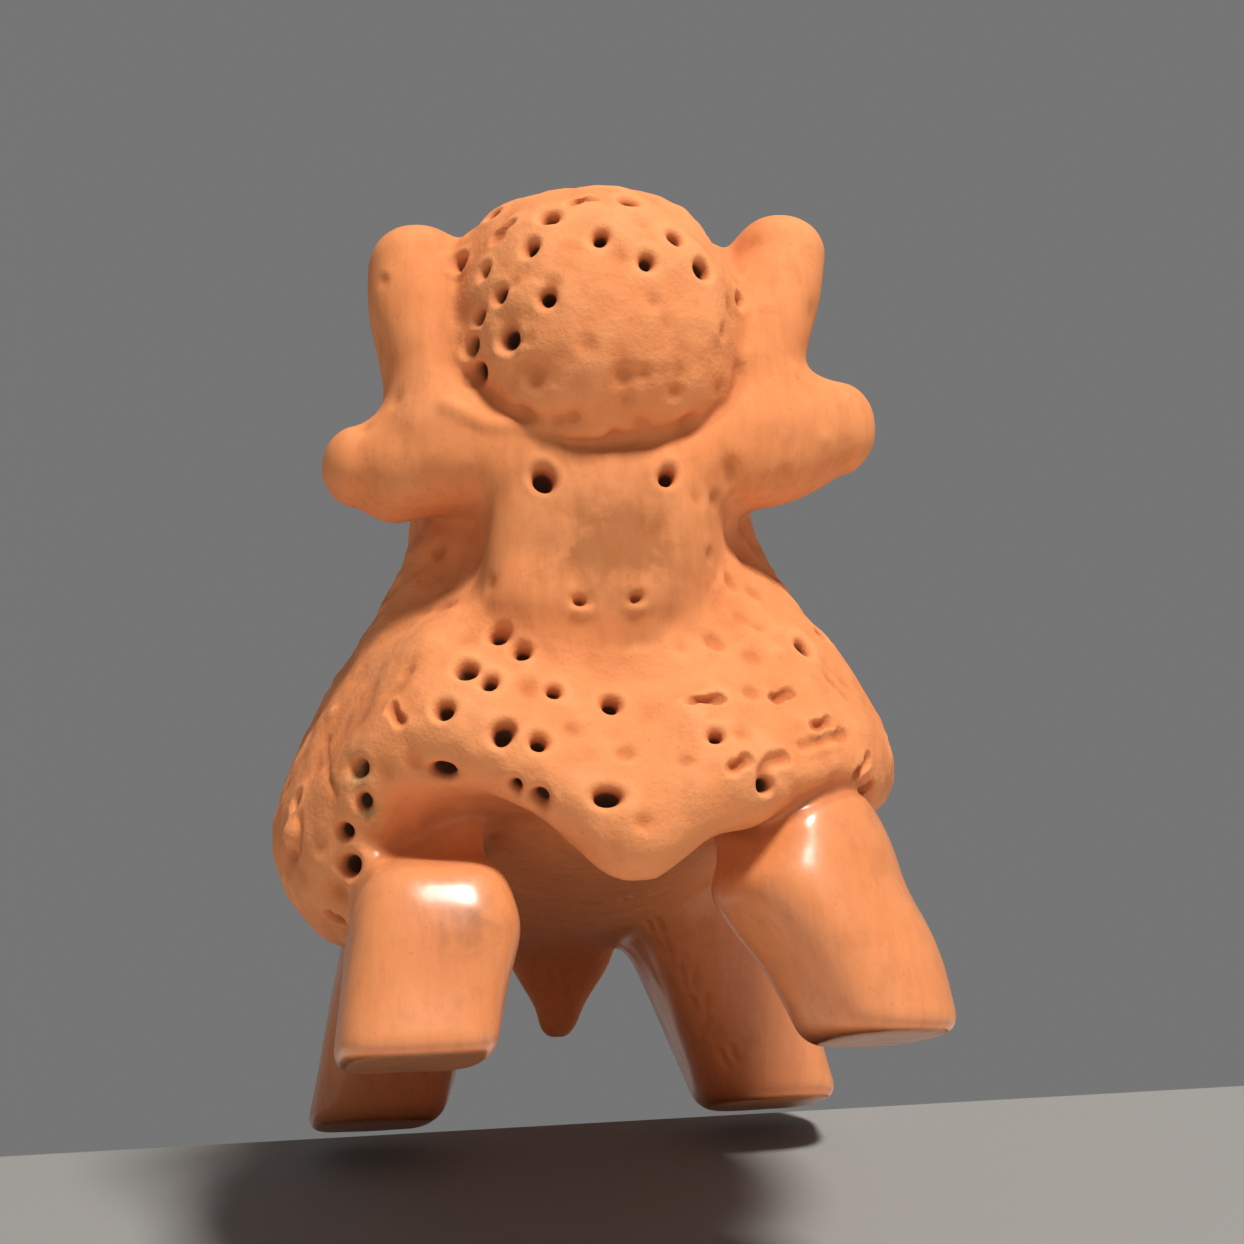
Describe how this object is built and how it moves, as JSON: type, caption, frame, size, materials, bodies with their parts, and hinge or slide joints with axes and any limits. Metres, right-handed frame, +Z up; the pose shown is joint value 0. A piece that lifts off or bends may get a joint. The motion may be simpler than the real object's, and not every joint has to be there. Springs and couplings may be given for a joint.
{
  "type": "pottery buffalo figurine",
  "caption": "Hand-modelled fired-clay buffalo on short splayed legs, with a punched cap and a cape-like mane, a smooth face, thumb-shaped horns, paddle ears and a tapered tail.",
  "frame": {"origin": "centre of the outline seen from above, on the plane of the four soles", "axes": "+Z up, -Y the way the buffalo faces, +X to the right of someone who faces it"},
  "size_m": [0.0448, 0.0588, 0.062],
  "materials": {
    "clay": "unglazed orange-brown terracotta: matte on cap and mane, burnished on face, legs and body"
  },
  "bodies": {
    "root": {"buffalo": "clay"}
  },
  "joints": []
}
